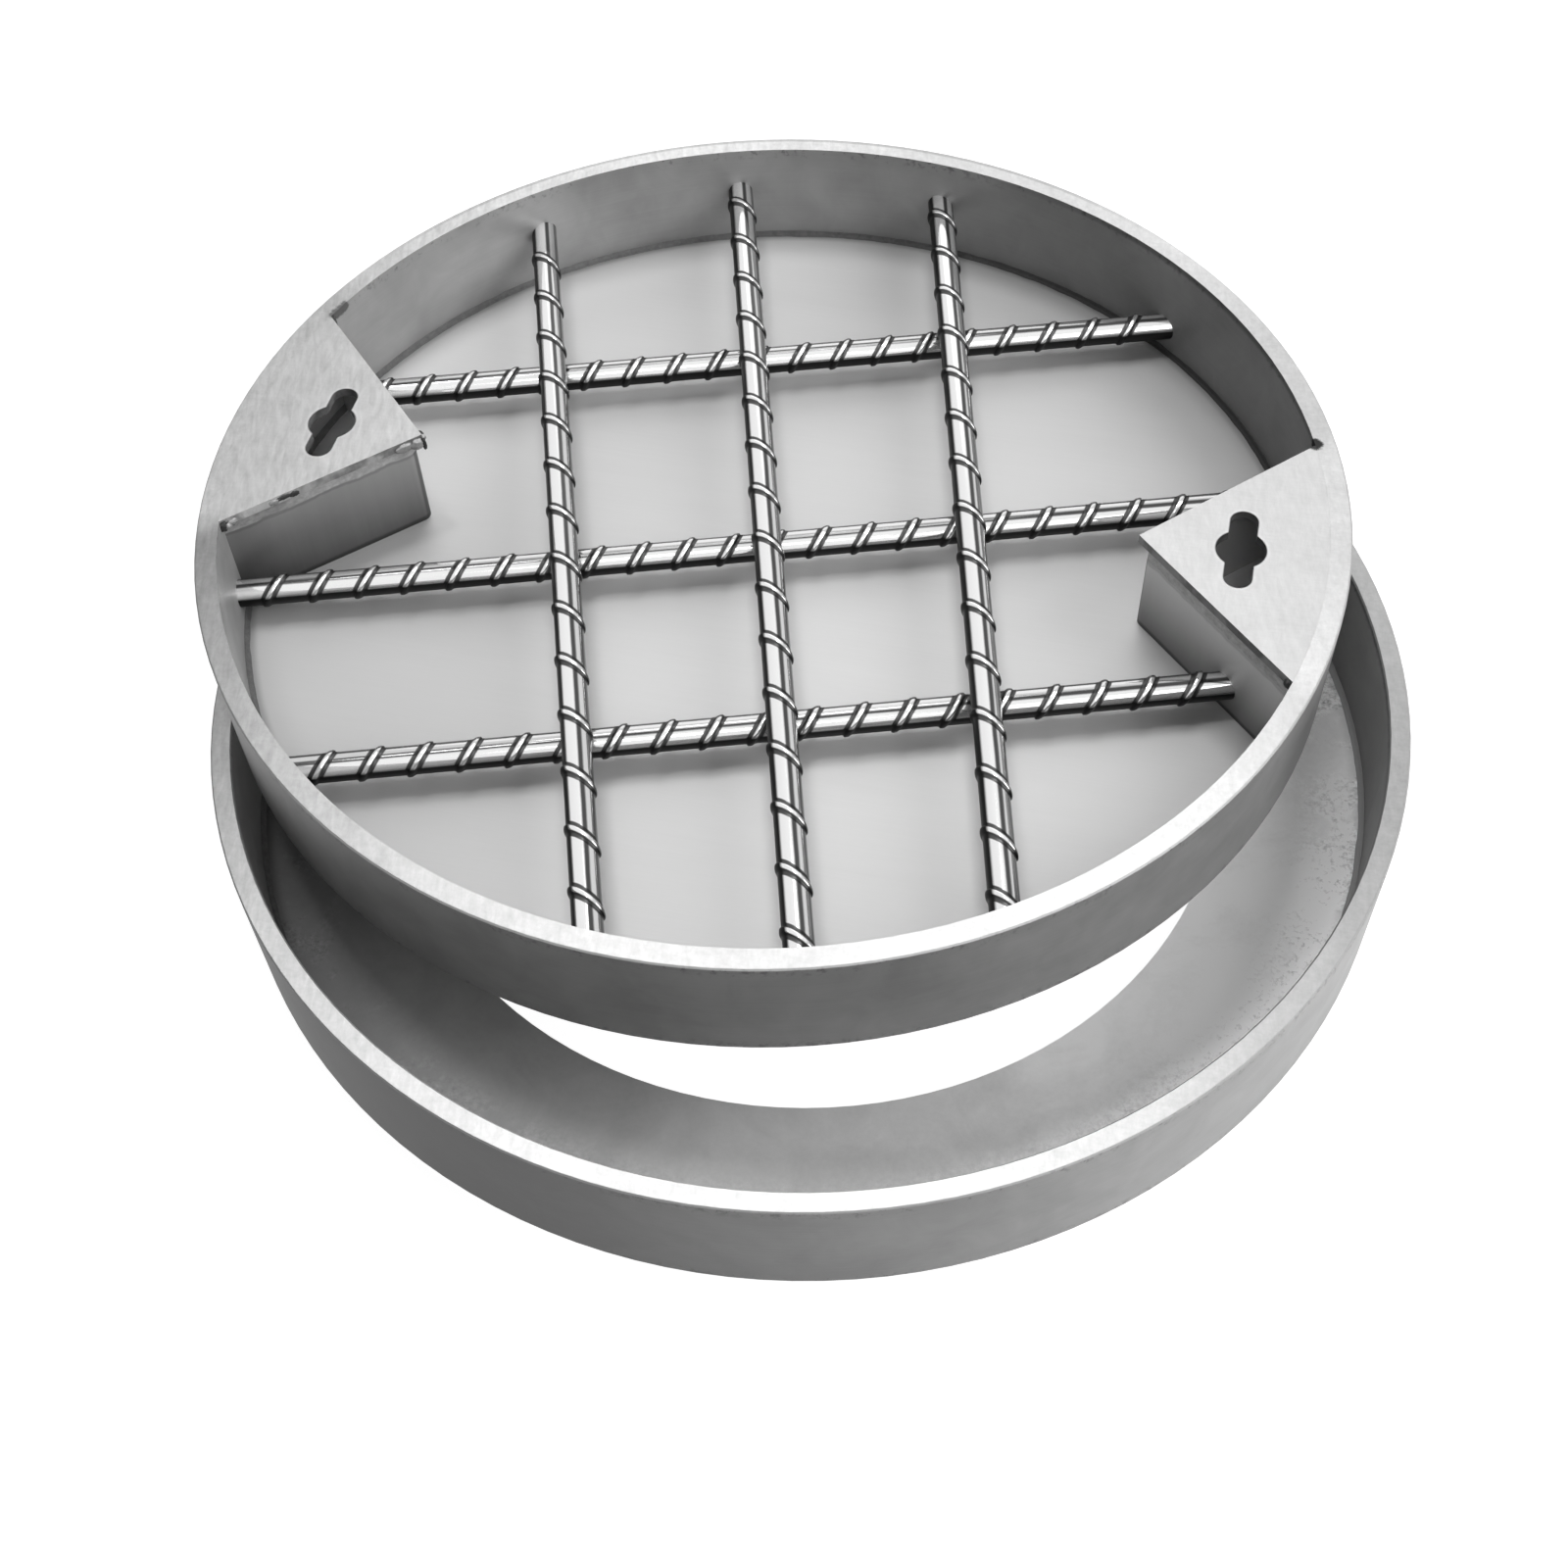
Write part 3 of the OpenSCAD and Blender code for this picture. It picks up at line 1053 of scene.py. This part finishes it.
def lump(maker, place, size, turn, seed):
    """Adds a rough drop of weld metal to a bmesh."""
    made = bmesh.ops.create_icosphere(maker, subdivisions=3, radius=1.0)
    turned = Matrix.Rotation(turn, 3, "Z")
    for vertex in made["verts"]:
        way = vertex.co.normalized()
        # Slow swellings with finer roughness over them
        rough = 1.0 + 0.30 * noise.noise(way * 1.6 + Vector((seed, 0, 0)))
        rough += 0.16 * noise.noise(way * 4.5 + Vector((0, seed, 0)))
        shaped = Vector((way.x * size[0], way.y * size[1], way.z * size[2])) * rough
        vertex.co = Vector(place) + turned @ shaped
    for face in maker.faces:
        face.smooth = True


# Operators, one for each group of pieces and one for the stage


class FinishWalls(bpy.types.Operator):
    """Give both rolled walls their mill faces and ground rims"""

    bl_idname = "cover.finish_walls"
    bl_label = "Rolled Walls"

    def execute(self, context):
        finishes = context.scene.cover_finishes
        grid = context.scene.cover_grid
        frame_wall = rolled_finish("frame_wall_steel", finishes, FRAME_WALL)
        tray_wall = rolled_finish("tray_wall_steel", finishes, TRAY_WALL, grid)
        cover_with(frame_wall, "frame_wall")
        cover_with(tray_wall, "tray_wall")
        return {"FINISHED"}


class FinishPlates(bpy.types.Operator):
    """Give the ledge, the tray's floor, the key plates and the pockets their finishes"""

    bl_idname = "cover.finish_plates"
    bl_label = "Plates and Pockets"

    def execute(self, context):
        finishes, grid = context.scene.cover_finishes, context.scene.cover_grid
        cover_with(ledge_finish(finishes), "frame_ledge")
        cover_with(floor_finish(finishes, grid), "tray_floor")
        for side in ("left", "right"):
            cover_with(plate_finish(finishes, grid, side), f"key_plate_{side}")
        for side in ("left", "right"):
            cover_with(pocket_finish(finishes, side), f"pocket_wall_{side}")
        return {"FINISHED"}


class MakeCrossBars(bpy.types.Operator):
    """Make the three lower bars of the grid"""

    bl_idname = "cover.make_cross_bars"
    bl_label = "Cross Bars"

    def execute(self, context):
        bars, grid = context.scene.cover_bars, context.scene.cover_grid
        material = bar_finish(context.scene.cover_finishes)
        height = FLOOR_HIGH.z - FLOOR_LOW.z + grid.under_gap + bars.core / 2 + bars.rib_height
        places = {"front": -grid.front_reach, "middle": 0.0, "back": grid.back_reach}
        for place, across in places.items():
            ribbed_bar(
                f"cross_rod_{place}",
                f"cross_bar_{place}",
                bars,
                grid.turn,
                across,
                height,
                (bars.cross_pitch, bars.cross_slant, bars.cross_roll),
                (bars.cross_painted_highlight, 1),
                lambda offset: pocket_reach(grid, offset),
                material,
            )
        return {"FINISHED"}


class MakeLongBars(bpy.types.Operator):
    """Make the three upper bars of the grid"""

    bl_idname = "cover.make_long_bars"
    bl_label = "Long Bars"

    def execute(self, context):
        bars, grid = context.scene.cover_bars, context.scene.cover_grid
        material = bpy.data.materials.get("bright_bar") or bar_finish(context.scene.cover_finishes)
        ribs = bars.core / 2 + bars.rib_height
        height = FLOOR_HIGH.z - FLOOR_LOW.z + grid.under_gap + 3 * ribs
        for place, step in (("left", -1), ("middle", 0), ("right", 1)):
            ribbed_bar(
                f"long_rod_{place}",
                f"long_bar_{place}",
                bars,
                grid.turn - grid.lean - step * grid.fan + math.pi / 2,
                grid.shift - step * grid.spacing,
                height,
                (bars.long_pitch, bars.long_slant, 0.0),
                (bars.long_painted_highlight, -1),
                None,
                material,
            )
        return {"FINISHED"}


class MakeSeams(bpy.types.Operator):
    """Lay the welds round the ledge and the tray's floor"""

    bl_idname = "cover.make_seams"
    bl_label = "Weld Seams"

    def execute(self, context):
        welds = context.scene.cover_welds
        material = weld_finish(context.scene.cover_finishes, context.scene.cover_grid)

        frame_path = ring((0, 0), FRAME_BORE, LEDGE_HIGH.z)
        tray_path = ring((TRAY_X, TRAY_Y), TRAY_BORE, FLOOR_HIGH.z)
        seam("ledge_weld", frame_path, welds, material, "ledge_steel", 3.0)
        seam("floor_weld", tray_path, welds, material, "floor_steel", 7.0)
        return {"FINISHED"}


# Lumps of weld metal along the edges of the key plates: side, hand of the edge, distance from the
# wall along the edge, distance out from the edge, depth below the top, half sizes, burnt or not
TACKS = (
    ("left", -1, 1.0, 0.6, 4.0, (2.0, 1.3, 3.0), True),
    ("left", 1, 1.3, 0.3, 3.4, (1.8, 1.3, 2.7), True),
    ("left", 1, 3.0, 1.3, 3.4, (1.5, 1.0, 1.6), False),
    ("left", 1, 5.4, 0.2, 3.0, (2.6, 0.9, 1.9), False),
    ("left", 1, 29.0, 0.0, 1.9, (3.0, 0.6, 1.2), True),
    ("left", 1, 33.5, 0.0, 2.4, (2.4, 0.5, 1.5), True),
    ("left", 1, 24.5, 0.0, 2.5, (2.2, 0.5, 1.5), False),
    ("left", 1, 85.0, 0.3, 3.2, (4.4, 1.0, 2.3), False),
    ("left", 1, 90.6, 0.7, 3.5, (3.2, 1.7, 2.6), False),
    ("left", 1, 93.6, 1.3, 4.3, (0.9, 1.2, 3.2), True),
    ("left", -1, 91.0, 0.4, 2.4, (2.2, 1.4, 1.8), True),
    ("left", -1, 93.4, 0.6, 2.0, (1.3, 1.2, 1.4), False),
    ("right", 1, 0.8, 0.2, 3.0, (2.2, 1.4, 2.6), True),
    ("right", -1, 1.6, 0.2, 2.8, (2.4, 1.2, 2.2), True),
)


class MakeWeldMarks(bpy.types.Operator):
    """Leave the rough tack welds along the edges of the key plates"""

    bl_idname = "cover.make_weld_marks"
    bl_label = "Weld Marks"

    def execute(self, context):
        welds, grid = context.scene.cover_welds, context.scene.cover_grid
        finishes = context.scene.cover_finishes
        burnt_metal, clean_metal = scale_finish(finishes), tack_finish(finishes)
        half = grid.pocket_half_angle
        ends = {(side, hand): end for side, hand, end in weld_ends(grid)}
        for side, turn in SIDE_TURNS.items():
            around = Matrix.Rotation(turn, 3, "Z")
            for burnt, material in ((True, burnt_metal), (False, clean_metal)):
                maker = bmesh.new()
                tacks = [tack for tack in TACKS if tack[0] == side and tack[-1] == burnt]
                for number, (_, hand, back, out, depth, size, _) in enumerate(tacks):
                    way = around @ Vector((math.cos(half), hand * math.sin(half), 0))
                    outward = around @ Vector((-math.sin(half), hand * math.cos(half), 0))
                    spot = ends[side, hand] - way * (back * MM) + outward * (out * MM)
                    spot.z -= depth * MM
                    half_sizes = [half_size * MM * welds.mark for half_size in size]
                    lump(maker, spot, half_sizes, turn + hand * half, 5.0 * hand + turn + number)
                if tacks:
                    kind = "burnt" if burnt else "bright"
                    add_piece(f"plate_tacks_{kind}_{side}", maker, material)
        return {"FINISHED"}


# Lamps, named like the properties that hold their power: where each stands and its diameter
LAMPS = {
    "window": ((1.90, 0.10, 1.50), 1.8),
    "back": ((-0.20, 0.80, 2.20), 0.8),
    "top": ((-0.55, 0.25, 2.40), 0.35),
    "front": ((1.50, -1.40, 1.40), 1.5),
    "fill": ((0.36, -1.25, 1.70), 0.5),
    "low": ((-0.40, 2.20, 1.00), 1.8),
}
LAMP_AIM = Vector((0, 0, 50 * MM))
FLOOR_GLOW = 0.93
SENSOR_WIDTH = 36


class SetStage(bpy.types.Operator):
    """Set up the pale floor, the soft lamps and the camera"""

    bl_idname = "cover.set_stage"
    bl_label = "Stage"

    def execute(self, context):
        scene, studio = context.scene, context.scene.cover_studio
        scene.view_settings.view_transform = "Standard"
        self.make_world(scene, studio)
        self.make_floor(scene, studio)
        for name, (place, size) in LAMPS.items():
            self.make_lamp(scene, f"{name}_lamp", Vector(place), size, getattr(studio, name))
        self.make_camera(scene, studio)
        return {"FINISHED"}

    @staticmethod
    def seen_directly(shader):
        """1 for the camera's own rays and for those that metal and glass send on."""
        kinds = [
            shader.node("ShaderNodeLightPath", output=kind)
            for kind in ("Is Camera Ray", "Is Glossy Ray", "Is Transmission Ray")
        ]
        return shader.rise(kinds[0] + kinds[1] + kinds[2], 0.0, 1.0)

    def make_world(self, scene, studio):
        """White where it is seen, and soft grey where it lights."""
        scene.world = bpy.data.worlds.new("white_room")
        scene.world.use_nodes = True
        shader = Shader(scene.world.node_tree)
        seen = self.seen_directly(shader)
        strength = studio.sky + seen * (1.0 - studio.sky)
        room = shader.node("ShaderNodeBackground", {}, {"Color": (1, 1, 1), "Strength": strength})
        shader.node("ShaderNodeOutputWorld", {}, {"Surface": room})

    def make_floor(self, scene, studio):
        """A pale floor that looks white and keeps a soft shadow."""
        maker = bmesh.new()
        bmesh.ops.create_grid(maker, x_segments=8, y_segments=8, size=studio.floor_size / 2)
        mesh = bpy.data.meshes.new("studio_floor")
        maker.to_mesh(mesh)
        maker.free()
        floor = bpy.data.objects.new("studio_floor", mesh)
        material, shader = new_material("pale_floor")
        matt = shader.node("ShaderNodeBsdfDiffuse", {}, {"Color": studio.floor})
        lift = shader.node(
            "ShaderNodeEmission",
            {},
            {"Color": (1, 1, 1), "Strength": self.seen_directly(shader) * FLOOR_GLOW},
        )
        both = shader.node("ShaderNodeAddShader", {}, {0: matt, 1: lift})
        shader.node("ShaderNodeOutputMaterial", {}, {"Surface": both})
        mesh.materials.append(material)
        scene.collection.objects.link(floor)

    def make_lamp(self, scene, name, place, size, power):
        """A round soft lamp that looks at the part."""
        lamp = bpy.data.lights.new(name, "AREA")
        lamp.shape = "DISK"
        lamp.size = size
        lamp.energy = power
        made = bpy.data.objects.new(name, lamp)
        made.location = place
        made.rotation_euler = (LAMP_AIM - place).to_track_quat("-Z", "Y").to_euler()
        scene.collection.objects.link(made)

    def make_camera(self, scene, studio):
        """The camera that sees the part as the reference picture does."""
        camera = bpy.data.cameras.new("camera")
        camera.lens = studio.lens
        camera.sensor_width = SENSOR_WIDTH
        made = bpy.data.objects.new("camera", camera)
        place = Vector(studio.camera_place)
        level = (Vector(studio.camera_aim) - place).to_track_quat("-Z", "Y")
        made.location = place
        made.rotation_euler = (level @ Quaternion((0, 0, 1), studio.camera_roll)).to_euler()
        scene.collection.objects.link(made)
        scene.camera = made


# Panel and run


STEPS = (FinishWalls, FinishPlates, MakeCrossBars, MakeLongBars, MakeSeams, MakeWeldMarks, SetStage)
GROUPS = {
    "cover_bars": BarSizes,
    "cover_grid": GridSizes,
    "cover_welds": WeldSizes,
    "cover_finishes": Finishes,
    "cover_studio": Studio,
}


class CoverPanel(bpy.types.Panel):
    """The steps that dress the access cover."""

    bl_idname = "VIEW3D_PT_access_cover"
    bl_label = "Access Cover"
    bl_space_type = "VIEW_3D"
    bl_region_type = "UI"
    bl_category = "Access Cover"

    def draw(self, context):
        """A button for each step and a box of sizes for each group."""
        for step in STEPS:
            self.layout.operator(step.bl_idname)
        for name, group in GROUPS.items():
            box = self.layout.box()
            box.label(text=group.__doc__)
            for size in group.__annotations__:
                box.prop(getattr(context.scene, name), size)


def register():
    """Adds the classes and the groups of sizes to Blender."""
    for group in GROUPS.values():
        bpy.utils.register_class(group)
    for name, group in GROUPS.items():
        setattr(bpy.types.Scene, name, PointerProperty(type=group))
    for step in (*STEPS, CoverPanel):
        bpy.utils.register_class(step)


def unregister():
    """Takes them away again."""
    for step in (CoverPanel, *reversed(STEPS)):
        bpy.utils.unregister_class(step)
    for name in GROUPS:
        delattr(bpy.types.Scene, name)
    for group in reversed(GROUPS.values()):
        bpy.utils.unregister_class(group)


def main():
    """Runs every step."""
    register()
    for step in STEPS:
        family, action = step.bl_idname.split(".")
        getattr(getattr(bpy.ops, family), action)()


if __name__ == "__main__":
    main()
